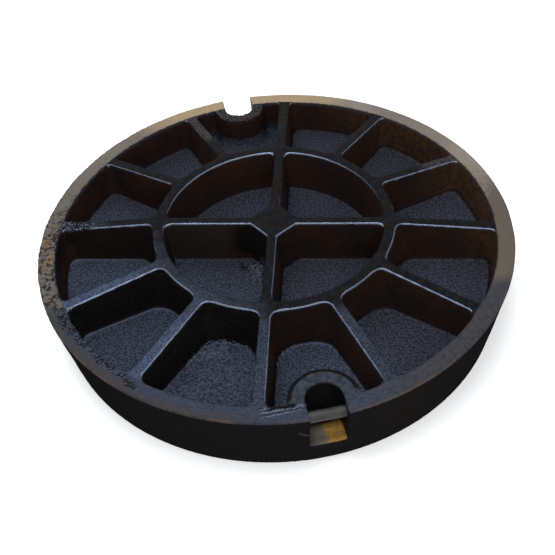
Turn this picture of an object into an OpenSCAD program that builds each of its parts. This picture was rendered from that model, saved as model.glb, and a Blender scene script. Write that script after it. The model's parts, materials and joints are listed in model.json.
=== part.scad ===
// Round inspection cover in grey iron, lying with its ribbed underside up.
// The road face is on z = 0 and the seat face of the skirt looks up, at cover_h.
// The two lifting pockets are on the Y axis, and only the one on the -Y side keeps its bar.

/* [Cover] */
// Outer diameter at the seat face
cover_d = 600; // [560:5:680]
// Height from the road face to the seat face
cover_h = 96; // [84:1:110]
// Draft of the outside of the skirt, in degrees
skirt_draft = 7.2; // [3:0.2:8]
// Width of the seat face
seat_w = 21; // [17:1:26]
// Depth of the cells below the seat face
cell_depth = 49; // [42:1:54]
// Radius that breaks the cast edges
edge_r = 2; // [1:0.5:3]

/* [Ribs] */
// Draft of the walls inside, in degrees
wall_draft = 3; // [1:0.5:4]
// Radius where a rib, a spoke or the hub meets the floor of a cell
foot_r = 6; // [3:0.5:9]
// Radius where the skirt or the ring meets the floor of a cell
round_foot_r = 7.2; // [3.2:0.5:9.2]
// Radius of the corners of a cell, seen from above
corner_r = 10; // [6:1:14]
// Number of outer ribs
rib_count = 12; // [8:4:16]
// Width of a rib along its top
rib_w = 12.8; // [10:0.2:15]
// Outer diameter of the ring rib
ring_d = 308; // [290:2:330]
// Width of the ring rib along its top
ring_w = 14; // [11:0.5:18]
// Height of the ring and the hub above the seat face
centre_rise = 10; // [6:1:14]
// Step down from the top of the ring and the hub to the ribs and the spokes
rib_step = 0.4; // [0.2:0.1:0.8]
// Depth of the outer end of a rib below the seat face
rib_end_drop = 0.6; // [0.2:0.2:2]
// Angle from the +X axis to the first rib, in degrees
rib_turn = -14.5; // [-16:0.5:-14]

/* [Hub] */
// Side of the square plate at the centre
hub_w = 50; // [40:1:58]
// Width of a spoke along its top
spoke_w = 12.6; // [10:0.2:15]
// Number of spokes, each in line with a rib
spoke_count = 4; // [2:2:6]

/* [Lifting pockets] */
// Width of a pocket
pocket_w = 42; // [37:1:46]
// Length of a pocket, from the outer edge of the seat face to its round end
pocket_l = 46; // [42:1:54]
// Depth of a pocket below the seat face
pocket_depth = 60; // [52:1:66]
// Thickness of the wall round a pocket
pocket_wall = 14.5; // [11:0.5:18]
// Step down from the seat face to the wall round a pocket
pocket_wall_step = 0.4; // [0.2:0.1:0.8]
// Length of the slot for the lifting key
key_slot_l = 20; // [14:1:26]
// Width of the slot for the lifting key
key_slot_w = 8; // [6:0.5:12]

/* [Lifting bar] */
// Diameter of the bar
bar_d = 13; // [10:0.5:15]
// Depth of the bar's axis below the seat face
bar_drop = 18.6; // [15:0.2:24]
// Distance from the outer edge of the seat face to the bar's axis
bar_setback = 17; // [14:0.5:20]
// Length of each end of the bar inside the wall
bar_grip = 12; // [8:1:14]
// Gap between the bar and its socket
bar_clearance = 0.1; // [0.05:0.05:0.4]

/* [Road face] */
// Width of the plain border round the tread
border_w = 20; // [14:1:30]
// Side of a stud of the tread
stud_w = 30; // [24:1:36]
// Width of the channels between the studs
channel_w = 14; // [8:1:18]
// Depth of the channels
channel_depth = 4; // [2:0.5:6]
// Width of the plain metal round a key slot
slot_pad_w = 8; // [5:1:12]

/* [Hidden] */
$fn = 96;
arc_steps = 4;
overlap = 1;
foot_sink = 0.2;

cover_r = cover_d / 2;
road_r = cover_r - cover_h * tan(skirt_draft);
seat_r = cover_r - seat_w;
floor_z = cover_h - cell_depth;
crown_z = cover_h + centre_rise;
rib_top_z = crown_z - rib_step;
root_z = floor_z - max(foot_r, round_foot_r);
ring_ro = ring_d / 2;
ring_ri = ring_ro - ring_w;
ring_mid = (ring_ro + ring_ri) / 2;
rim_mid = seat_r + seat_w / 2;
rib_end_z = cover_h - rib_end_drop;
rib_slope = (rib_top_z - rib_end_z) / (seat_r - ring_ro);
pocket_r = pocket_w / 2;
pocket_y = cover_r - pocket_l + pocket_r;
pocket_floor_z = cover_h - pocket_depth;
boss_r = pocket_r + pocket_wall;
boss_z = cover_h - pocket_wall_step;
bar_y = cover_r - bar_setback;
bar_z = cover_h - bar_drop;
bar_l = pocket_w + 2 * bar_grip;
stud_pitch = stud_w + channel_w;
tread_r = road_r - border_w;
tread_rows = ceil(tread_r / stud_pitch);
key_slot_reach = (key_slot_l - key_slot_w) / 2;
key_slot_y = pocket_y - sqrt(pow(pocket_r - edge_r - key_slot_w / 2, 2) - pow(key_slot_reach, 2));

// Points of an arc about a centre, from one angle to another
function arc(c, r, a0, a1) =
    [for (i = [0:arc_steps]) c + r * [cos(a0 + (a1 - a0) * i / arc_steps), sin(a0 + (a1 - a0) * i / arc_steps)]];

// One side of a drafted wall, from the break of its top edge down to foot_z and into the plate
function wall_side(x, top_z, foot_z, r) =
    let (foot = [x + (top_z - foot_z) * tan(wall_draft), foot_z])
    let (reach = r / tan((90 + wall_draft) / 2))
    concat(
        arc([x - edge_r, top_z - edge_r], edge_r, 90, 0),
        arc(foot + [reach, r], r, 180 + wall_draft, 270),
        [[foot[0] + reach, root_z]]);

function mirrored(points) = [for (i = [len(points) - 1:-1:0]) [-points[i][0], points[i][1]]];

// Section of a wall that stands free, such as a rib, centred on x = 0
module wall_section(w, top_z, r) {
    side = wall_side(w / 2, top_z, floor_z - foot_sink, r);
    polygon(concat(side, mirrored(side)));
}

// Straight wall along X from x0 to x1
module straight_wall(w, x0, x1, top_z) {
    translate([x0, 0, 0])
        rotate([90, 0, 90])
            linear_extrude(height = x1 - x0)
                wall_section(w, top_z, foot_r);
}

// Plate and skirt in one revolved profile
module plate_and_skirt() {
    inner = mirrored(wall_side(0, cover_h, floor_z, round_foot_r));
    rotate_extrude()
        polygon(concat(
            [[0, 0]],
            arc([road_r - edge_r, edge_r], edge_r, 270, 360),
            arc([cover_r - edge_r, cover_h - edge_r], edge_r, 0, 90),
            [for (i = [len(inner) - 1:-1:1]) inner[i] + [seat_r, 0]],
            [[0, floor_z]]));
}

// Ring rib between the outer and the inner cells
module ring_rib() {
    rotate_extrude()
        translate([ring_mid, 0])
            wall_section(ring_w, crown_z, round_foot_r);
}

// Rounded corner between the side of a wall and a round wall, both running up from the floor
module corner_fill(r, side_w, inward) {
    u = sqrt(r * r - side_w * side_w / 4);
    for (side = [0, 1])
        mirror([0, side])
            translate([u, side_w / 2])
                mirror([inward, 0])
                    polygon(concat(
                        [[-overlap, -overlap], [corner_r, -overlap]],
                        arc([corner_r, corner_r], corner_r, 270, 180),
                        [[-overlap, corner_r]]));
}

// Outer ribs, which fall away from the ring to the skirt
module outer_ribs() {
    intersection() {
        union() {
            for (i = [0:rib_count - 1])
                rotate(rib_turn + i * 360 / rib_count)
                    straight_wall(rib_w, ring_mid, rim_mid, crown_z + 2 * edge_r);
            translate([0, 0, root_z])
                linear_extrude(height = crown_z - root_z)
                    for (i = [0:rib_count - 1])
                        rotate(rib_turn + i * 360 / rib_count) {
                            corner_fill(ring_ro, rib_w, 0);
                            corner_fill(seat_r, rib_w, 1);
                        }
        }
        rotate_extrude()
            polygon([
                [ring_mid - overlap, root_z],
                [rim_mid + overlap, root_z],
                [rim_mid + overlap, rib_top_z - (rim_mid + overlap - ring_ro) * rib_slope],
                [ring_ro, rib_top_z],
                [ring_mid - overlap, rib_top_z]]);
    }
}

// Spokes that cross inside the ring
module spokes() {
    for (i = [0:spoke_count / 2 - 1])
        rotate(rib_turn + i * 360 / spoke_count)
            straight_wall(spoke_w, -ring_mid, ring_mid, rib_top_z);
    translate([0, 0, root_z])
        linear_extrude(height = rib_top_z - edge_r / 2 - root_z)
            for (i = [0:spoke_count - 1])
                rotate(rib_turn + i * 360 / spoke_count)
                    corner_fill(ring_ri, spoke_w, 1);
}

// Square plate at the centre, its corners on the spokes
module hub() {
    intersection_for (turn = [45, 135])
        rotate(rib_turn + turn)
            straight_wall(hub_w, -hub_w, hub_w, crown_z);
}

// Wall round a pocket, which runs out from its round end into the skirt
module pocket_boss() {
    intersection() {
        translate([0, -pocket_y, 0]) {
            rotate_extrude()
                polygon(concat([[0, root_z], [0, boss_z]], wall_side(boss_r, boss_z, floor_z - foot_sink, foot_r)));
            rotate(-90)
                straight_wall(2 * boss_r, 0, pocket_l, boss_z);
        }
        cylinder(h = cover_h, r = rim_mid);
    }
}

// Pocket cut down from the seat face and out through the skirt
module pocket_cut() {
    translate([0, -pocket_y, pocket_floor_z])
        cylinder(h = cover_h, r = pocket_r);
    translate([-pocket_r, -cover_d, pocket_floor_z])
        cube([pocket_w, cover_d - pocket_y, cover_h]);
}

// Outline with round ends about a key slot, wider than the slot by a margin on every side
module slot_outline(margin) {
    w = key_slot_w + 2 * margin;
    translate([0, -key_slot_y]) {
        square([2 * key_slot_reach, w], center = true);
        for (side = [-1, 1])
            translate([side * key_slot_reach, 0])
                circle(d = w);
    }
}

// Slot for the lifting key, from the road face up into the round end of a pocket
module key_slot() {
    translate([0, 0, -overlap])
        linear_extrude(height = pocket_floor_z + 2 * overlap)
            slot_outline(0);
}

// Channels that cut the road face into square studs
module tread_channels() {
    translate([0, 0, -overlap])
        linear_extrude(height = channel_depth + overlap)
            difference() {
                circle(r = tread_r);
                for (i = [-tread_rows:tread_rows], j = [-tread_rows:tread_rows])
                    translate([i * stud_pitch, j * stud_pitch])
                        square(stud_w, center = true);
                for (turn = [0, 180])
                    rotate(turn)
                        slot_outline(slot_pad_w);
            }
}

// Round socket that the bar is cast into
module bar_socket() {
    translate([-bar_l / 2, -bar_y, bar_z])
        rotate([0, 90, 0])
            cylinder(h = bar_l, d = bar_d + 2 * bar_clearance);
}

module cover() {
    color("#1b1d22")
        difference() {
            union() {
                plate_and_skirt();
                ring_rib();
                outer_ribs();
                spokes();
                hub();
                for (turn = [0, 180])
                    rotate(turn)
                        pocket_boss();
            }
            for (turn = [0, 180])
                rotate(turn) {
                    pocket_cut();
                    key_slot();
                }
            tread_channels();
            bar_socket();
        }
}

module lifting_bar() {
    color("#5a5b5c")
        translate([-bar_l / 2, -bar_y, bar_z])
            rotate([0, 90, 0])
                cylinder(h = bar_l, d = bar_d);
}

cover();
lifting_bar();
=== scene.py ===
import json
import math

import bmesh
import bpy
from mathutils import Euler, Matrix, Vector, noise


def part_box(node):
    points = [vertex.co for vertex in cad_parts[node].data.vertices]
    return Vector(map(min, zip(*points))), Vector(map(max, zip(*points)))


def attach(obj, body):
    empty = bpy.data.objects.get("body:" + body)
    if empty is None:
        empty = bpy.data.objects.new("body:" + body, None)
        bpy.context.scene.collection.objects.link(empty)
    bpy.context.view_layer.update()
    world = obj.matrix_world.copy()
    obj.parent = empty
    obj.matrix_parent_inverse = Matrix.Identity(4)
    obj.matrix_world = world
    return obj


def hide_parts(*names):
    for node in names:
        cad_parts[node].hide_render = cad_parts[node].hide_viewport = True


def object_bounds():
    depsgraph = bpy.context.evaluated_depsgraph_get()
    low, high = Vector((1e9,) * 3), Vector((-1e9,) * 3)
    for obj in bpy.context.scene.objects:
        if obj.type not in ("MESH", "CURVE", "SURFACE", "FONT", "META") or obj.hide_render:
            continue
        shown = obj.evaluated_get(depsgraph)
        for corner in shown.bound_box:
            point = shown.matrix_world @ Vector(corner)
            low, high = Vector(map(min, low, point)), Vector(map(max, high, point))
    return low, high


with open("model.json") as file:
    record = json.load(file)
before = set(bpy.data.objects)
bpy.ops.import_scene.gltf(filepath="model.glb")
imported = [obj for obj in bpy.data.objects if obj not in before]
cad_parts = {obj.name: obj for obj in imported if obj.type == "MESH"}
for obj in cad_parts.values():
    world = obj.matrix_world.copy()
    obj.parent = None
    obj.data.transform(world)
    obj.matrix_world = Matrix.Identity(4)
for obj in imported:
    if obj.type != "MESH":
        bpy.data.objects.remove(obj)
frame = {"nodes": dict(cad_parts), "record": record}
cad_low, cad_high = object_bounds()


# The camera looks down on the ribs from the side of the lifting bar, turned a little to its left.
# It aims near the middle of the seat face, and the roll is the tilt with which the picture was taken.
mount_places = {mount["name"]: Vector(mount["pos_m"]) for mount in frame["record"]["mounts"]}
seat_z = mount_places["seat_face"].z
camera_azimuth = -8.0
camera_elevation = 45.8
camera_roll = -4.58
camera_offset = Vector((0.00468, -0.06618, 1.03101))

camera_data = bpy.data.cameras.new("camera")
camera_data.sensor_width = 36.0
camera_data.lens = 52.34
camera = bpy.data.objects.new("camera", camera_data)
camera_turn = (
    Euler((math.radians(90 - camera_elevation), 0, math.radians(camera_azimuth))).to_matrix()
    @ Euler((0, 0, math.radians(camera_roll))).to_matrix()
)
camera.rotation_euler = camera_turn.to_euler()
camera.location = Vector((0, 0, seat_z)) + camera_turn @ camera_offset
bpy.context.scene.collection.objects.link(camera)
bpy.context.scene.camera = camera
bpy.context.scene.view_settings.view_transform = "Standard"


# The lamps are soft panels. A wide one high behind the cover lays a sheen on all that faces up, a small one
# right above it draws the thin bright line along the near edge of each rib, and a wide one stands in front.
def add_panel(name, place, size, strength, colour):
    lamp = bpy.data.lights.new(name, "AREA")
    lamp.shape = "SQUARE"
    lamp.size = size
    lamp.energy = strength
    lamp.color = colour
    panel = bpy.data.objects.new(name, lamp)
    panel.location = place
    panel.rotation_euler = (-Vector(place)).to_track_quat("-Z", "Y").to_euler()
    bpy.context.scene.collection.objects.link(panel)


add_panel("back_panel", (-0.5, 1.1, 2.2), 1.4, 16.0, (0.74, 0.87, 1.0))
add_panel("top_panel", (-0.2, -0.2, 2.2), 0.9, 24.0, (0.86, 0.93, 1.0))
add_panel("front_panel", (0.4, -2.0, 1.7), 1.6, 12.0, (1.0, 0.97, 0.93))


# The studio's background is white to the eye and to what the iron reflects, and lights the cover only weakly
def add_node(tree, kind, inputs=(), **settings):
    made = tree.nodes.new(kind)
    for name, value in settings.items():
        setattr(made, name, value)
    for slot, value in dict(inputs).items():
        if isinstance(value, bpy.types.NodeSocket):
            tree.links.new(value, made.inputs[slot])
        else:
            made.inputs[slot].default_value = value
    return made


def white_to_eye(tree):
    rays = add_node(tree, "ShaderNodeLightPath").outputs
    share = rays["Is Camera Ray"]
    for kind in ("Is Glossy Ray", "Is Transmission Ray"):
        either = add_node(tree, "ShaderNodeMath", {0: share, 1: rays[kind]}, operation="MAXIMUM")
        share = either.outputs["Value"]
    return share


def choose_for_eye(tree, plain, white, output):
    shaders = {0: white_to_eye(tree), 1: plain, 2: white}
    choice = add_node(tree, "ShaderNodeMixShader", shaders)
    tree.links.new(choice.outputs["Shader"], tree.nodes[output].inputs["Surface"])


world = bpy.data.worlds.new("studio")
bpy.context.scene.world = world
world.use_nodes = True
world_tree = world.node_tree
world_light = world_tree.nodes["Background"]
world_light.inputs["Color"].default_value = (0.93, 0.96, 1.0, 1.0)
world_light.inputs["Strength"].default_value = 0.4
world_white = add_node(world_tree, "ShaderNodeBackground")
choose_for_eye(
    world_tree, world_light.outputs["Background"], world_white.outputs["Background"], "World Output"
)


# The studio floor is a plain pale sheet. It shows as white to the camera and keeps the cover's soft shadow.
floor_reach = 12.0
floor_mesh = bpy.data.meshes.new("floor")
floor_bmesh = bmesh.new()
bmesh.ops.create_grid(floor_bmesh, x_segments=1, y_segments=1, size=floor_reach)
floor_bmesh.to_mesh(floor_mesh)
floor_bmesh.free()
floor = bpy.data.objects.new("floor", floor_mesh)
bpy.context.scene.collection.objects.link(floor)
floor_material = bpy.data.materials.new("white_sheet")
floor_material.use_nodes = True
floor_tree = floor_material.node_tree
floor_cloth = floor_tree.nodes["Principled BSDF"]
floor_cloth.inputs["Base Color"].default_value = (0.16, 0.16, 0.16, 1)
floor_cloth.inputs["Roughness"].default_value = 0.9
floor_cloth.inputs["Specular IOR Level"].default_value = 0.0
floor_seen = add_node(floor_tree, "ShaderNodeBsdfDiffuse", {"Color": (0.95, 0.95, 0.95, 1)})
floor_glow = add_node(floor_tree, "ShaderNodeEmission", {"Strength": 0.45})
floor_parts = {0: floor_seen.outputs["BSDF"], 1: floor_glow.outputs["Emission"]}
floor_sum = add_node(floor_tree, "ShaderNodeAddShader", floor_parts)
choose_for_eye(floor_tree, floor_cloth.outputs["BSDF"], floor_sum.outputs["Shader"], "Material Output")
floor_mesh.materials.append(floor_material)


# The cover is one casting in grey iron, poured in sand and dipped in black bitumen. The ground seat face has
# lost its coat and rusted, the tops of the ribs carry a painted sheen, and crumbs of the mould are burnt on
# in places.
cell_floor_z = 0.047
crown_z = cad_high.z
cell_depth = seat_z - cell_floor_z
ring_radius = 0.154
seat_inner_radius = 0.279
seat_outer_radius = cad_high.x
edge_break = 0.002
skirt_inset = 0.0121
rib_half_width = 0.0064
first_rib_angle = -14.5
rib_pitch_angle = 30
wall_lean = math.tan(math.radians(3))
foot_radius = 0.0065
pocket_middle_y = 0.275
boss_radius = 0.0355
voxel = 0.0015
weld_distance = 0.00001
triangle_limit = 182000


def apply_modifiers(piece):
    depsgraph = bpy.context.evaluated_depsgraph_get()
    shaped = bpy.data.meshes.new_from_object(piece.evaluated_get(depsgraph))
    plain = piece.data
    piece.modifiers.clear()
    piece.data = shaped
    bpy.data.meshes.remove(plain)


def close_skin(piece):
    remesh = piece.modifiers.new("skin", "REMESH")
    remesh.mode = "VOXEL"
    remesh.voxel_size = voxel


def shift_skin(piece, shift_of):
    casting = bmesh.new()
    casting.from_mesh(piece.data)
    casting.normal_update()
    for vertex in casting.verts:
        vertex.co += shift_of(vertex)
    casting.to_mesh(piece.data)
    casting.free()


def smooth_step(low, high, value):
    share = min(max((value - low) / (high - low), 0.0), 1.0)
    return share * share * (3 - 2 * share)


# The upright corners of the outer cells widen towards the floor, by the ring more than by the skirt
corner_top_radius = 0.010
corner_foot_radius = 0.029
skirt_corner_radius = 0.017
corner_widening = 1.5
ring_corner_reach = 0.06
skirt_corner_reach = 0.03
corner_slack = 0.001


def corner_shift(place):
    radius = math.hypot(place.x, place.y)
    rise_up = place.z - cell_floor_z
    if not -corner_slack < rise_up < cell_depth:
        return Vector()
    at_ring = ring_radius - corner_slack < radius < ring_radius + ring_corner_reach
    at_skirt = seat_inner_radius - skirt_corner_reach < radius < seat_inner_radius + corner_slack
    if not at_ring and not at_skirt:
        return Vector()
    rib_turn = math.radians(first_rib_angle)
    rib_pitch = math.radians(rib_pitch_angle)
    turn = math.atan2(place.y, place.x) - rib_turn
    rib = rib_turn + round(turn / rib_pitch) * rib_pitch
    outward = Vector((math.cos(rib), math.sin(rib), 0))
    sideways = Vector((-math.sin(rib), math.cos(rib), 0))
    across = place.dot(sideways)
    if across < 0:
        sideways = -sideways
    lean = (crown_z - place.z) * wall_lean
    from_rib = abs(across) - rib_half_width - lean
    if at_ring:
        from_round = radius - ring_radius - lean
        foot_corner = corner_foot_radius
    else:
        from_round = seat_inner_radius - radius - (seat_z - place.z) * wall_lean
        foot_corner = skirt_corner_radius
        outward = -outward
    widening = (foot_corner - corner_top_radius) * (1 - rise_up / cell_depth) ** corner_widening
    round_off = corner_top_radius + widening
    into_foot = min(max(foot_radius - rise_up, 0.0), foot_radius)
    foot = foot_radius - math.sqrt(foot_radius ** 2 - into_foot ** 2)
    offset = Vector((from_round - round_off, from_rib - round_off))
    if offset.x > 0 or offset.y > 0 or offset.length <= round_off - foot:
        return Vector()
    push = (round_off - foot) / offset.length - 1
    return outward * offset.x * push + sideways * offset.y * push


# The wall of the front pocket bears a lip round its top, and the wall of the back pocket ends in a wide foot
boss_lip = 0.0040
lip_start_z = 0.055
lip_full_z = 0.085
lip_inside = 0.033
lip_crest_inside = 0.035
lip_crest_outside = 0.040
lip_outside = 0.045
boss_foot_radius = 0.020
foot_starts_inward = 0.3
foot_full_inward = 0.75
boss_inside = 0.03
boss_outside = 0.07
boss_bottom = 0.04


def lip_shift(place, outward, distance):
    lip = smooth_step(lip_start_z, lip_full_z, place.z)
    lip *= smooth_step(lip_inside, lip_crest_inside, distance)
    return outward * boss_lip * lip * smooth_step(lip_outside, lip_crest_outside, distance)


def wide_foot_shift(place, outward, distance):
    gap = distance - boss_radius - (seat_z - place.z) * wall_lean
    offset = Vector((gap - boss_foot_radius, place.z - cell_floor_z - boss_foot_radius))
    if offset.x > 0 or offset.y > 0 or offset.length <= boss_foot_radius:
        return Vector()
    inward = smooth_step(foot_starts_inward, foot_full_inward, -outward.y)
    push = (boss_foot_radius / offset.length - 1) * inward
    return outward * offset.x * push + Vector((0, 0, offset.y * push))


def boss_shift(place):
    side = 1 if place.y > 0 else -1
    outward = Vector((place.x, place.y - side * pocket_middle_y, 0))
    distance = outward.length
    near_boss = boss_inside <= distance <= boss_outside and place.z >= boss_bottom
    if not near_boss or math.hypot(place.x, place.y) > seat_inner_radius:
        return Vector()
    outward = outward / distance
    if side < 0:
        return lip_shift(place, outward, distance)
    return wide_foot_shift(place, outward, distance)


# A cold shut runs along the seat face beside the front pocket, as a ragged ridge with a groove on the outside
cold_shut = [Vector((-0.070, -0.2725)), Vector((-0.043, -0.2780)), Vector((-0.023, -0.2795))]
shut_height = 0.0022
shut_width = 0.0022
shut_steepness = 1.6
shut_widths_kept = 3
shut_wander = 0.0015
shut_wander_size = 0.008
shut_right_end = -0.015
shut_back_end = -0.26


def shut_shift(place):
    flat = Vector((place.x, place.y + noise.noise(place / shut_wander_size) * shut_wander))
    nearest = None
    for start, end in zip(cold_shut, cold_shut[1:]):
        run = end - start
        share = min(max((flat - start).dot(run) / run.length_squared, 0.0), 1.0)
        offset = flat - (start + run * share)
        if nearest is None or offset.length < nearest.length:
            nearest = offset
    across = nearest.length / shut_width
    if across > shut_widths_kept:
        return 0.0
    slope = across if nearest.y > 0 else -across
    return shut_height * math.exp(-across * across) * slope * shut_steepness


# Rough places of the casting: middle, reach, height of the swelling and height of the crumbs on it, in metres
rough_places = [
    (Vector((-0.268, 0.070, 0.096)), 0.018, 0.0008, 0.0020),
    (Vector((-0.250, 0.064, 0.097)), 0.014, 0.0006, 0.0018),
    (Vector((-0.238, 0.060, 0.098)), 0.010, 0.0002, 0.0014),
    (Vector((-0.040, -0.016, 0.050)), 0.010, 0.0050, 0.0050),
    (Vector((-0.030, -0.026, 0.054)), 0.010, 0.0060, 0.0050),
    (Vector((-0.024, -0.040, 0.050)), 0.011, 0.0040, 0.0050),
    (Vector((-0.108, -0.122, 0.047)), 0.027, 0.0034, 0.0020),
    (Vector((-0.086, -0.165, 0.047)), 0.045, 0.0000, 0.0013),
    (Vector((-0.130, -0.160, 0.047)), 0.045, 0.0006, 0.0013),
    (Vector((-0.090, -0.235, 0.047)), 0.035, 0.0000, 0.0013),
    (Vector((-0.030, -0.175, 0.047)), 0.024, 0.0000, 0.0012),
    (Vector((-0.081, 0.156, 0.047)), 0.028, 0.0000, 0.0010),
    (Vector((-0.262, -0.076, 0.096)), 0.016, 0.0000, 0.0016),
    (Vector((-0.270, -0.086, 0.096)), 0.011, 0.0000, 0.0018),
    (Vector((-0.258, -0.117, 0.096)), 0.011, 0.0000, 0.0018),
    (Vector((-0.242, -0.147, 0.096)), 0.010, 0.0000, 0.0014),
    (Vector((-0.288, 0.020, 0.096)), 0.022, 0.0000, 0.0014),
    (Vector((-0.286, 0.110, 0.096)), 0.018, 0.0000, 0.0012),
    (Vector((-0.022, 0.262, 0.096)), 0.012, 0.0000, 0.0024),
    (Vector((0.000, 0.245, 0.096)), 0.014, 0.0000, 0.0026),
    (Vector((0.026, 0.258, 0.096)), 0.013, 0.0004, 0.0026),
    (Vector((0.052, 0.270, 0.096)), 0.016, 0.0000, 0.0012),
    (Vector((0.091, -0.268, 0.096)), 0.003, -0.0020, 0.0000),
]
# Roughness on a floor doesn't climb above this level
rough_floor_top = 0.08
rough_core = 0.5
rough_edge = 1.6
crumb_size = 0.0036
crumb_sink = 0.1
wave_size = 0.03
wave_height = 0.0004
sand_size = 0.0055
sand_height = 0.00012
pit_size = 0.005
pit_depth = 0.0008
pitted_right, pitted_left = -0.02, -0.2
pitted_front, pitted_back = -0.2, -0.1
seat_skin_depth = 0.004
seat_skin_margin = 0.002
road_face_quiet = 0.002
road_face_rough = 0.008


def rough_shift(place):
    shift = 0.0
    crumbs = None
    for middle, reach, swelling, crumb_height in rough_places:
        distance = (place - middle).length
        if distance >= rough_edge * reach or place.z > rough_floor_top > middle.z:
            continue
        if crumbs is None:
            fine_crumbs = noise.noise(place / (crumb_size / 2))
            crumbs = abs(noise.noise(place / crumb_size)) + 0.5 * fine_crumbs - crumb_sink
        fade = 1 - smooth_step(rough_core * reach, rough_edge * reach, distance)
        shift += (swelling + crumb_height * crumbs) * fade
    return shift


def pits(place):
    rusty = smooth_step(pitted_right, pitted_left, place.x) * smooth_step(pitted_front, pitted_back, place.y)
    return pit_depth * rusty * smooth_step(0.1, 0.4, noise.noise(place / pit_size))


def skin_shift(place):
    waves = noise.noise(place / wave_size) * wave_height
    shift = waves + noise.noise(place / sand_size) * sand_height + rough_shift(place)
    radius = math.hypot(place.x, place.y)
    on_seat = place.z > seat_z - seat_skin_depth and radius > seat_inner_radius - seat_skin_margin
    if on_seat:
        shift -= pits(place)
    if on_seat and place.x < shut_right_end and place.y < shut_back_end:
        shift += shut_shift(place)
    return shift * smooth_step(road_face_quiet, road_face_rough, place.z)


iron_cover = bpy.data.objects.new("iron_cover", frame["nodes"]["cover"].data.copy())
bpy.context.scene.collection.objects.link(iron_cover)
casting = bmesh.new()
casting.from_mesh(iron_cover.data)
bmesh.ops.remove_doubles(casting, verts=casting.verts, dist=weld_distance)
casting.to_mesh(iron_cover.data)
casting.free()
close_skin(iron_cover)
press = iron_cover.modifiers.new("press", "SHRINKWRAP")
press.target = frame["nodes"]["cover"]
apply_modifiers(iron_cover)
shift_skin(iron_cover, lambda vertex: corner_shift(vertex.co) + boss_shift(vertex.co))
close_skin(iron_cover)
apply_modifiers(iron_cover)
shift_skin(iron_cover, lambda vertex: vertex.normal * skin_shift(vertex.co))
thin_out = iron_cover.modifiers.new("thin_out", "DECIMATE")
thin_out.ratio = triangle_limit / (2 * len(iron_cover.data.polygons))
apply_modifiers(iron_cover)


def srgb(red, green, blue):
    def linear(value):
        share = value / 255
        return share / 12.92 if share <= 0.04045 else ((share + 0.055) / 1.055) ** 2.4

    return (linear(red), linear(green), linear(blue), 1.0)


# A finish is a material whose patterns are each given by size, detail and roughness. East, north and height
# are places along the axes in metres, and an angle is counted in degrees from east towards north.
class Finish:
    def __init__(self, name, **patterns):
        self.material = bpy.data.materials.new(name)
        self.material.use_nodes = True
        self.tree = self.material.node_tree
        self.shader = self.tree.nodes["Principled BSDF"]
        self.coords = self.node("ShaderNodeTexCoord").outputs["Object"]
        places = self.node("ShaderNodeSeparateXYZ", {0: self.coords}).outputs
        self.east, self.north, self.height = (places[axis] for axis in "XYZ")
        for pattern, (size, detail, roughness) in patterns.items():
            setattr(self, pattern, self.blotches(size, detail, roughness))

    def node(self, kind, inputs=(), **settings):
        return add_node(self.tree, kind, inputs, **settings)

    def maths(self, operation, first, second=0.0):
        return self.node("ShaderNodeMath", {0: first, 1: second}, operation=operation).outputs["Value"]

    def vector_maths(self, operation, first, second, output="Value"):
        inputs = {0: first, 1: second}
        return self.node("ShaderNodeVectorMath", inputs, operation=operation).outputs[output]

    def product(self, first, *others):
        for other in others:
            first = self.maths("MULTIPLY", first, other)
        return first

    def without(self, share):
        return self.maths("SUBTRACT", 1.0, share)

    def either(self, first, second):
        return self.maths("MAXIMUM", first, second)

    # Adds to the first value a part of the second
    def plus(self, first, second, part):
        return self.maths("ADD", first, self.maths("MULTIPLY", second, part))

    # Shifts a place to and fro with a pattern, so that an edge laid by it wanders
    def ragged(self, place, pattern, reach):
        return self.plus(place, self.maths("SUBTRACT", pattern, 0.5), reach)

    def blotches(self, size, detail, roughness):
        inputs = {"Vector": self.coords, "Scale": 1 / size, "Detail": detail, "Roughness": roughness}
        return self.node("ShaderNodeTexNoise", inputs).outputs["Fac"]

    # Is the place along a level direction
    def along(self, angle):
        direction = (math.cos(math.radians(angle)), math.sin(math.radians(angle)), 0)
        return self.vector_maths("DOT_PRODUCT", self.coords, direction)

    def from_point(self, point):
        return self.vector_maths("DISTANCE", self.coords, point)

    # Rises softly from 0 to 1 between start and full, which may be the lower of the two
    def rise(self, value, start, full):
        inputs = {"Value": value, "From Min": start, "From Max": full}
        made = self.node("ShaderNodeMapRange", inputs, interpolation_type="SMOOTHSTEP")
        return made.outputs["Result"]

    # Is 1 where every value given is past its full mark, and 0 where any is short of its start
    def zone(self, *marks):
        return self.product(*(self.rise(*mark) for mark in marks))

    # Lays the second colour over the first as far as the share goes
    def paint(self, under, over, share):
        inputs = {"Factor": share, 6: under, 7: over}
        return self.node("ShaderNodeMix", inputs, data_type="RGBA").outputs[2]

    def sand_bump(self, size, strength, depth):
        height = self.plus(self.blotches(size, 3.0, 0.7), self.blotches(size / 4, 2.0, 0.7), 0.5)
        inputs = {"Strength": strength, "Distance": depth, "Height": height}
        self.set_socket("Normal", self.node("ShaderNodeBump", inputs).outputs["Normal"])

    def set_socket(self, slot, value):
        self.tree.links.new(value, self.shader.inputs[slot])


def rib_angle(count):
    return first_rib_angle + count * rib_pitch_angle


hub_left_corner = (-0.030, -0.018, 0.080)
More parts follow.
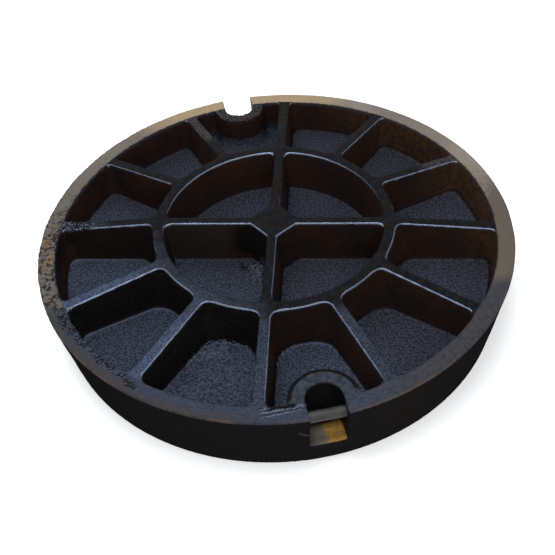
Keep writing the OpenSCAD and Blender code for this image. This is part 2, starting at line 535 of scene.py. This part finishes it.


# The walls inside are brown, streaked with rust on the right and black in the near left cells, with painted
# shade by the hub and at the feet
def wall_coat(iron):
    left = iron.along(rib_angle(6))
    nearer = iron.along(-100)
    right = iron.along(15)
    black_side = iron.zone((left, 0.0, 0.003), (iron.radius, 0.145, 0.150), (nearer, -0.03, 0.01))
    streaked = iron.zone((iron.sand, 0.40, 0.64), (iron.radius, 0.215, 0.268))
    rust_streaks = iron.paint(srgb(54, 42, 35), srgb(80, 54, 35), streaked)
    skirt_foot = iron.zone(
        (iron.radius, 0.262, 0.268),
        (iron.north, -0.085, -0.065),
        (iron.height, 0.078, 0.058),
    )
    walls = iron.paint(srgb(38, 30, 28), srgb(50, 31, 24), iron.rise(iron.stain, 0.42, 0.60))
    walls = iron.paint(walls, srgb(23, 21, 20), black_side)
    walls = iron.paint(walls, srgb(50, 33, 24), iron.product(skirt_foot, black_side))
    walls = iron.paint(walls, rust_streaks, iron.rise(right, 0.17, 0.25))
    pale_patch = iron.zone(
        (iron.facing_north, -0.6, -0.85),
        (iron.east, -0.045, -0.075),
        (iron.radius, 0.142, 0.136),
    )
    pale_patch = iron.product(pale_patch, iron.zone((iron.north, -0.02, 0.0), (iron.north, 0.06, 0.045)))
    walls = iron.paint(walls, srgb(46, 42, 36), pale_patch)
    # Painted shade: the walls near the left corner of the hub are painted near black
    painted_shade_by_hub = iron.rise(iron.from_point(hub_left_corner), 0.038, 0.028)
    walls = iron.paint(walls, srgb(20, 19, 18), painted_shade_by_hub)
    walls = iron.paint(walls, srgb(62, 54, 50), iron.product(iron.rise(iron.grain, 0.5, 0.7), 0.35))
    # Painted shade: the feet of the walls, where they curve into the floors, are painted near black
    painted_shade_at_foot = iron.product(iron.rise(iron.up, 0.12, 0.5), 0.75)
    return iron.paint(walls, srgb(12, 10, 9), painted_shade_at_foot)


# The floors have the grain of the sand, with a painted sheen in the near left cells and a painted highlight
# on their slopes that face the front
def floor_coat(iron):
    grain = iron.rise(iron.grain, 0.35, 0.65)
    floors = iron.paint(srgb(24, 25, 29), srgb(62, 64, 74), grain)
    # Painted reflection: a bluish sheen laid into the colour
    painted_sheen = iron.paint(srgb(27, 30, 38), srgb(75, 81, 97), grain)
    near_left = iron.along(-138)
    floors = iron.paint(floors, painted_sheen, iron.rise(near_left, 0.03, 0.13))
    nearer = iron.along(-125)
    # Painted highlight: pale blue on the floor slopes that face the front in the near left cells
    painted_highlight_slopes = iron.zone((iron.facing_north, -0.12, -0.45), (nearer, 0.05, 0.12))
    return iron.paint(floors, srgb(104, 114, 136), iron.product(painted_highlight_slopes, 0.4))


# What faces up enough is floor, and so is the wide foot of the back pocket's wall
def floor_share(iron):
    from_middle = iron.maths("ABSOLUTE", iron.east)
    back_foot = iron.zone((iron.north, 0.19, 0.21), (from_middle, 0.062, 0.050))
    back_foot = iron.product(back_foot, iron.rise(iron.height, 0.069, 0.060), 0.9)
    level = iron.maths("ADD", iron.plus(iron.up, iron.sand, 0.1), back_foot)
    return iron.rise(level, 0.80, 0.93)


# Dust and yellow rust lie on the ledge at the mouth of the front pocket, the dust darker towards the left,
# and its depth is the black coat painted nearly black as shade
def pocket_floor(iron, colour):
    from_middle = iron.maths("ABSOLUTE", iron.east)
    within = iron.zone((from_middle, 0.0225, 0.0218), (iron.north, -0.250, -0.254))
    # Painted shade: the inside of the pocket below the tops, and the inner end of the ledge, are painted
    # nearly black
    painted_shade_deep = iron.product(within, iron.rise(iron.height, 0.094, 0.090))
    colour = iron.paint(colour, srgb(14, 13, 12), painted_shade_deep)
    side = iron.plus(iron.east, iron.stain, 0.02)
    dust = iron.paint(srgb(84, 81, 74), srgb(118, 110, 96), iron.rise(side, -0.014, 0.002))
    rust_grains = iron.rise(iron.blotches(0.0035, 4.0, 0.75), 0.40, 0.6)
    yellow_rust = iron.paint(srgb(146, 118, 70), srgb(190, 138, 50), rust_grains)
    dust = iron.paint(dust, yellow_rust, iron.rise(side, 0.007, 0.014))
    ledge = iron.zone((iron.height, 0.039, 0.037), (iron.up, 0.2, 0.5), (iron.north, -0.262, -0.280))
    return iron.paint(colour, dust, iron.product(within, ledge))


# The outer part of one rib's top, from a radius outwards, with the ribs counted from the first
def on_rib(iron, count, start):
    angle = rib_angle(count)
    across = iron.maths("ABSOLUTE", iron.along(angle + 90))
    return iron.zone((across, 0.009, 0.007), (iron.along(angle), start, start + 0.02))


# The tops of the two pocket walls, and the clump of burnt sand at the left
boss_top_reach = 0.0385
left_clump = (-0.256, 0.066, seat_z)


def on_back_boss(iron):
    return iron.rise(iron.from_point((0, pocket_middle_y, seat_z)), boss_top_reach, 0.0370)


def on_front_boss(iron):
    return iron.rise(iron.from_point((0, -pocket_middle_y, seat_z)), boss_top_reach, 0.0365)


def on_left_clump(iron):
    return iron.rise(iron.from_point(left_clump), 0.034, 0.026)


# The tops of the ribs carry a painted sheen on the near left and on one rib, and are speckled where burnt
# sand has held on
def top_coat(iron):
    tops = iron.paint(srgb(13, 13, 15), srgb(25, 23, 24), iron.rise(iron.sand, 0.4, 0.65))
    speckled = iron.either(on_rib(iron, 4, 0.195), on_rib(iron, 1, 0.215))
    speckled = iron.either(speckled, on_back_boss(iron))
    speckled = iron.product(speckled, iron.rise(iron.grain, 0.42, 0.58))
    tops = iron.paint(tops, srgb(72, 68, 66), speckled)
    grain = iron.rise(iron.grain, 0.38, 0.62)
    # Painted sheen: bluish reflection laid into the colour of the tops
    painted_dull_sheen = iron.paint(srgb(34, 38, 46), srgb(58, 63, 75), grain)
    painted_sheen = iron.paint(srgb(46, 52, 66), srgb(78, 88, 110), grain)
    near_left = iron.ragged(iron.along(220), iron.stain, 0.08)
    tops = iron.paint(tops, painted_dull_sheen, iron.rise(near_left, 0.11, 0.145))
    tops = iron.paint(tops, painted_sheen, iron.zone((near_left, 0.145, 0.20), (iron.east, -0.05, -0.11)))
    tops = iron.paint(tops, painted_dull_sheen, on_rib(iron, 10, 0.16))
    crumb_skin = iron.paint(srgb(12, 12, 14), srgb(100, 104, 114), iron.rise(iron.grain, 0.50, 0.62))
    tops = iron.paint(tops, crumb_skin, on_left_clump(iron))
    boss_skin = iron.paint(srgb(42, 45, 53), srgb(62, 65, 74), iron.rise(iron.sand, 0.40, 0.62))
    return iron.paint(tops, boss_skin, on_front_boss(iron))


# The bare part of the seat face is pitted and black-brown in front and tan behind
def seat_rust(iron):
    tan = iron.paint(srgb(124, 113, 102), srgb(140, 128, 114), iron.rise(iron.drift, 0.4, 0.6))
    back = iron.rise(iron.ragged(iron.north, iron.stain, 0.05), 0.235, 0.275)
    tan = iron.paint(tan, srgb(168, 143, 112), back)
    flakes = iron.rise(iron.blotches(0.0055, 4.0, 0.75), 0.45, 0.52)
    flakes = iron.either(flakes, iron.rise(iron.stain, 0.45, 0.38))
    flake_rust = iron.paint(srgb(106, 97, 88), srgb(122, 98, 74), iron.rise(iron.stain, 0.54, 0.64))
    pitted = iron.paint(srgb(30, 29, 32), flake_rust, flakes)
    left, behind, near_right = iron.along(170), iron.along(78), iron.along(-25)
    tan = iron.paint(tan, srgb(86, 79, 73), iron.product(iron.rise(left, 0.12, 0.22), 0.5))
    rust = iron.paint(pitted, tan, iron.rise(behind, -0.02, 0.14))
    rust = iron.paint(rust, srgb(98, 88, 78), iron.rise(near_right, 0.25, 0.275))
    dark_grain = iron.product(iron.rise(iron.grain, 0.56, 0.70), 0.5)
    return iron.paint(rust, srgb(58, 49, 42), dark_grain)


streak_core = 0.6
# Pale streaks of painted highlight and dark streaks of painted shade along the cold shut: middle on the Y
# axis, half of the width, colour
shut_highlights_and_shades = [
    (-0.2745, 0.0013, srgb(98, 105, 120)),
    (-0.2768, 0.0010, srgb(16, 16, 19)),
    (-0.2790, 0.0015, srgb(104, 111, 128)),
    (-0.2815, 0.0009, srgb(18, 18, 21)),
    (-0.2840, 0.0012, srgb(92, 98, 112)),
]


# Paints highlight and shade as streaks along the ridges and grooves of the cold shut
def shut_painted_light(iron, coat):
    place = iron.ragged(iron.north, iron.sand, 0.006)
    shut_reach = iron.zone((iron.east, -0.074, -0.062), (iron.east, -0.020, -0.028))
    for middle, half_width, streak in shut_highlights_and_shades:
        off_streak = iron.maths("ABSOLUTE", iron.maths("SUBTRACT", place, middle))
        on_streak = iron.product(iron.rise(off_streak, half_width, streak_core * half_width), shut_reach)
        broken = iron.product(on_streak, iron.rise(iron.grain, 0.40, 0.52))
        coat = iron.paint(coat, streak, broken)
    return coat


# The coat that is left on the seat face lies along its near side, brownish and burnt at the left
def seat_coat(iron):
    grain = iron.rise(iron.grain, 0.35, 0.65)
    coat = iron.paint(srgb(50, 54, 65), srgb(64, 69, 82), grain)
    grey = iron.paint(srgb(56, 55, 58), srgb(68, 66, 69), grain)
    coat = iron.paint(coat, grey, iron.rise(iron.east, 0.03, 0.12))
    coat = iron.paint(coat, srgb(40, 42, 50), iron.product(iron.rise(iron.sand, 0.52, 0.64), 0.45))
    outer = iron.ragged(iron.radius, iron.stain, 0.02)
    outer = iron.zone((outer, 0.287, 0.294), (iron.east, -0.05, -0.13))
    outer_skin = iron.paint(srgb(50, 46, 44), srgb(76, 69, 64), iron.grain)
    coat = iron.paint(coat, outer_skin, iron.product(outer, 0.8))
    burnt = iron.ragged(iron.radius, iron.stain, 0.03)
    near_left = iron.along(206)
    burnt = iron.zone((burnt, 0.2905, 0.2870), (near_left, 0.262, 0.272))
    burnt_skin = iron.paint(srgb(20, 20, 23), srgb(84, 88, 98), iron.rise(iron.grain, 0.52, 0.62))
    coat = iron.paint(coat, burnt_skin, iron.product(burnt, iron.rise(iron.sand, 0.40, 0.50)))
    return shut_painted_light(iron, coat)


def seat_skin(iron):
    shore = iron.ragged(iron.along(81), iron.stain, 0.08)
    bare = iron.zone((shore, -0.137, -0.107), (iron.maths("ADD", iron.up, iron.sand), 0.95, 1.25))
    return iron.paint(seat_coat(iron), seat_rust(iron), bare)


# The black coat is thick along the edge of the front pocket, and a stretch of the seat's inner edge beside it
# is painted dark as shade
def coat_and_painted_shade_line(iron):
    from_pocket = iron.from_point((0, -pocket_middle_y, seat_z))
    ring = iron.zone((from_pocket, 0.0340, 0.0348), (from_pocket, 0.045, 0.042))
    ring = iron.product(ring, iron.rise(iron.north, -0.274, -0.268))
    # Painted shade: the seat's inner edge here tilts away from the front and is painted near black
    painted_shade_on_rim = iron.zone((iron.radius, 0.2755, 0.2765), (iron.radius, 0.2820, 0.2808))
    painted_shade_on_rim = iron.product(painted_shade_on_rim, iron.zone((iron.east, -0.064, -0.058), (iron.east, -0.030, -0.034)))
    lip = iron.either(ring, iron.product(painted_shade_on_rim, iron.rise(iron.north, 0.0, -0.1)))
    return iron.product(lip, iron.high, iron.rise(iron.up, 0.0, 0.1))


# The edge of a rib that faces the front is made bare metal and painted pale as a highlight, apart from the
# bosses and the crumbs
def worn_edge_and_painted_highlight(iron, edge):
    toward = iron.plus(iron.facing_north, iron.rise(iron.north, 0.0, 0.08), 0.22)
    plain_rib = iron.without(iron.either(on_back_boss(iron), on_front_boss(iron)))
    specks = iron.product(iron.rise(iron.grain, 0.48, 0.58), 0.7)
    specks = iron.either(iron.without(on_left_clump(iron)), specks)
    return iron.product(edge, iron.rise(toward, 0.0, -0.3), plain_rib, specks)


lump_middle = (-0.028, -0.032, 0.050)


def coated_iron():
    iron = Finish(
        "coated_iron",
        grain=(0.0026, 3.0, 0.7),
        sand=(0.008, 4.0, 0.6),
        stain=(0.04, 4.0, 0.6),
        drift=(0.15, 2.0, 0.5),
    )
    facing = iron.node("ShaderNodeSeparateXYZ", {0: iron.node("ShaderNodeNewGeometry").outputs["Normal"]})
    iron.up = facing.outputs["Z"]
    iron.facing_north = facing.outputs["Y"]
    flat = iron.vector_maths("MULTIPLY", iron.coords, (1, 1, 0), "Vector")
    iron.radius = iron.node("ShaderNodeVectorMath", {0: flat}, operation="LENGTH").outputs["Value"]
    iron.high = iron.rise(iron.height, 0.088, 0.092)

    colour = iron.paint(wall_coat(iron), floor_coat(iron), floor_share(iron))
    shade = {0: colour, "Scale": iron.plus(0.85, iron.rise(iron.drift, 0.3, 0.7), 0.25)}
    colour = iron.node("ShaderNodeVectorMath", shade, operation="SCALE").outputs["Vector"]
    lump = iron.zone((iron.from_point(lump_middle), 0.022, 0.010), (iron.grain, 0.47, 0.57))
    colour = iron.paint(colour, srgb(80, 82, 92), lump)
    colour = pocket_floor(iron, colour)
    colour = iron.paint(colour, top_coat(iron), iron.product(iron.high, iron.rise(iron.up, 0.2, 0.6)))
    past_inner_edge = iron.rise(iron.radius, seat_inner_radius - 0.0015, seat_inner_radius + 0.0005)
    seat = iron.product(iron.high, past_inner_edge)
    colour = iron.paint(colour, seat_skin(iron), seat)

    broken_edge = iron.product(iron.high, iron.zone((iron.up, 0.15, 0.45), (iron.up, 0.97, 0.86)))
    by_seat = iron.rise(iron.radius, seat_inner_radius - 0.004, seat_inner_radius - 0.001)
    rib_edge = iron.product(broken_edge, iron.without(by_seat))
    worn_and_highlit_edge = worn_edge_and_painted_highlight(iron, rib_edge)
    painted_shade_far_edge = iron.product(rib_edge, iron.rise(iron.facing_north, -0.05, 0.1))
    rim_edge = iron.product(broken_edge, seat)
    rim_edge = iron.product(rim_edge, iron.zone((iron.radius, 0.29, 0.295), (iron.stain, 0.44, 0.54)))
    # Painted highlight: the front-facing rib edges are painted pale blue-grey
    colour = iron.paint(colour, srgb(120, 130, 152), iron.product(worn_and_highlit_edge, 0.85))
    # Painted shade: the rib edges that face away from the front are painted dark
    colour = iron.paint(colour, srgb(20, 19, 20), iron.product(painted_shade_far_edge, 0.6))
    colour = iron.paint(colour, srgb(15, 11, 9), coat_and_painted_shade_line(iron))
    colour = iron.paint(colour, srgb(106, 86, 70), iron.product(rim_edge, 0.5))
    iron.set_socket("Base Color", colour)

    iron.set_socket("Metallic", iron.product(worn_and_highlit_edge, 0.8))
    roughness = {"Factor": worn_and_highlit_edge, "A": iron.plus(0.36, iron.grain, 0.3), "B": 0.27}
    iron.set_socket("Roughness", iron.node("ShaderNodeMix", roughness).outputs["Result"])
    iron.shader.inputs["Specular IOR Level"].default_value = 0.05
    iron.sand_bump(size=0.0036, strength=0.8, depth=0.0006)
    return iron.material


# The outside of the skirt and the road face are duller than the rest, with one pale scratch near the front
scratch_slope = 0.889
scratch_height = 0.0415
scratch_half_width = 0.0013
scratch_core = 0.0005
scratch_left = -0.034
scratch_right = -0.0215


def dull_skirt():
    skirt = Finish("dull_skirt", grain=(0.003, 3.0, 0.7), stain=(0.05, 4.0, 0.6))
    coat = skirt.paint(srgb(42, 42, 45), srgb(46, 43, 41), skirt.rise(skirt.stain, 0.44, 0.6))
    colour = skirt.paint(coat, srgb(54, 52, 51), skirt.rise(skirt.grain, 0.5, 0.7))
    above = skirt.maths("SUBTRACT", skirt.height, scratch_height)
    scratch = skirt.plus(above, skirt.east, scratch_slope)
    scratch = skirt.zone(
        (skirt.maths("ABSOLUTE", scratch), scratch_half_width, scratch_core),
        (skirt.north, 0.0, -0.1),
        (skirt.east, scratch_left, scratch_left + 0.003),
        (skirt.east, scratch_right, scratch_right - 0.002),
    )
    skirt.set_socket("Base Color", skirt.paint(colour, srgb(120, 116, 112), scratch))
    skirt.set_socket("Roughness", skirt.plus(0.6, skirt.grain, 0.25))
    skirt.shader.inputs["Specular IOR Level"].default_value = 0.0
    skirt.sand_bump(size=0.0035, strength=0.6, depth=0.0005)
    return skirt.material


# The dull finish begins under the broken edge of the seat face, at one level all the way round
dull_top = seat_z - edge_break
plain_border_top = 0.006
skirt_slack = 0.003
skirt_slope = skirt_inset / seat_z
steepest_outside = 0.3
iron_cover.data.materials.clear()
iron_cover.data.materials.append(coated_iron())
iron_cover.data.materials.append(dull_skirt())
casting = bmesh.new()
casting.from_mesh(iron_cover.data)
everything = list(casting.verts) + list(casting.edges) + list(casting.faces)
bmesh.ops.bisect_plane(casting, geom=everything, plane_co=(0, 0, dull_top), plane_no=(0, 0, 1))
casting.normal_update()
for face in casting.faces:
    face.smooth = True
    middle = face.calc_center_median()
    radius = math.hypot(middle.x, middle.y)
    skirt_radius = seat_outer_radius - (seat_z - middle.z) * skirt_slope
    on_skirt = radius > skirt_radius - skirt_slack and face.normal.z < steepest_outside
    outside = on_skirt and middle.z < dull_top
    face.material_index = 1 if outside or middle.z < plain_border_top else 0
casting.to_mesh(iron_cover.data)
casting.free()
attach(iron_cover, "root")
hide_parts("cover")


# The lifting bar is a length of round mild steel laid in the mould, so the iron closes round its ends.
# It is smoother and paler than the casting, with a dull mill skin and a little rust, and its lower half is
# painted darker as shade.
bar_low, bar_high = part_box("lifting_bar")
bar_middle = (bar_low + bar_high) / 2
bar_radius = (bar_high.z - bar_low.z) / 2
bar_length = bar_high.x - bar_low.x
bar_sides = 64
bar_rings = 60
dent_size = 0.006
dent_depth = 0.00012
bend_size = 0.02
bend_depth = 0.0002

bar_mesh = bpy.data.meshes.new("steel_bar")
steel_bar = bpy.data.objects.new("steel_bar", bar_mesh)
bpy.context.scene.collection.objects.link(steel_bar)
rod = bmesh.new()
bmesh.ops.create_cone(
    rod, cap_ends=True, segments=bar_sides, radius1=bar_radius, radius2=bar_radius, depth=bar_length
)
sides = [edge for edge in rod.edges if abs(edge.verts[0].co.z - edge.verts[1].co.z) > bar_length / 2]
bmesh.ops.subdivide_edges(rod, edges=sides, cuts=bar_rings, use_grid_fill=True)
bmesh.ops.rotate(rod, verts=rod.verts, matrix=Euler((0, math.pi / 2, 0)).to_matrix())
bmesh.ops.translate(rod, verts=rod.verts, vec=bar_middle)
rod.normal_update()
for vertex in rod.verts:
    dents = noise.noise(vertex.co / dent_size) * dent_depth
    bends = noise.noise(vertex.co / bend_size) * bend_depth
    vertex.co += vertex.normal * (dents + bends - bend_depth)
rod.to_mesh(bar_mesh)
rod.free()
for polygon in bar_mesh.polygons:
    polygon.use_smooth = abs(polygon.normal.x) < 0.9


def mill_steel():
    steel = Finish("mill_steel", grain=(0.0012, 4.0, 0.6), cloud=(0.012, 4.0, 0.6))
    colour = steel.paint(srgb(38, 37, 35), srgb(62, 60, 56), steel.rise(steel.cloud, 0.35, 0.65))
    specks = steel.product(steel.rise(steel.grain, 0.48, 0.6), 0.45)
    colour = steel.paint(colour, srgb(30, 28, 26), specks)
    # Painted shade: the lower half of the bar is painted darker
    underside = steel.rise(steel.height, bar_middle.z + 0.002, bar_middle.z - 0.004)
    painted_shade_below = steel.product(underside, 0.7)
    steel.set_socket("Base Color", steel.paint(colour, srgb(20, 19, 18), painted_shade_below))
    steel.set_socket("Roughness", steel.plus(0.4, steel.cloud, 0.25))
    steel.shader.inputs["Metallic"].default_value = 0.3
    bump = steel.node("ShaderNodeBump", {"Strength": 0.4, "Distance": 0.0003, "Height": steel.grain})
    steel.set_socket("Normal", bump.outputs["Normal"])
    return steel.material


bar_mesh.materials.append(mill_steel())
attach(steel_bar, "root")
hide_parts("lifting_bar")
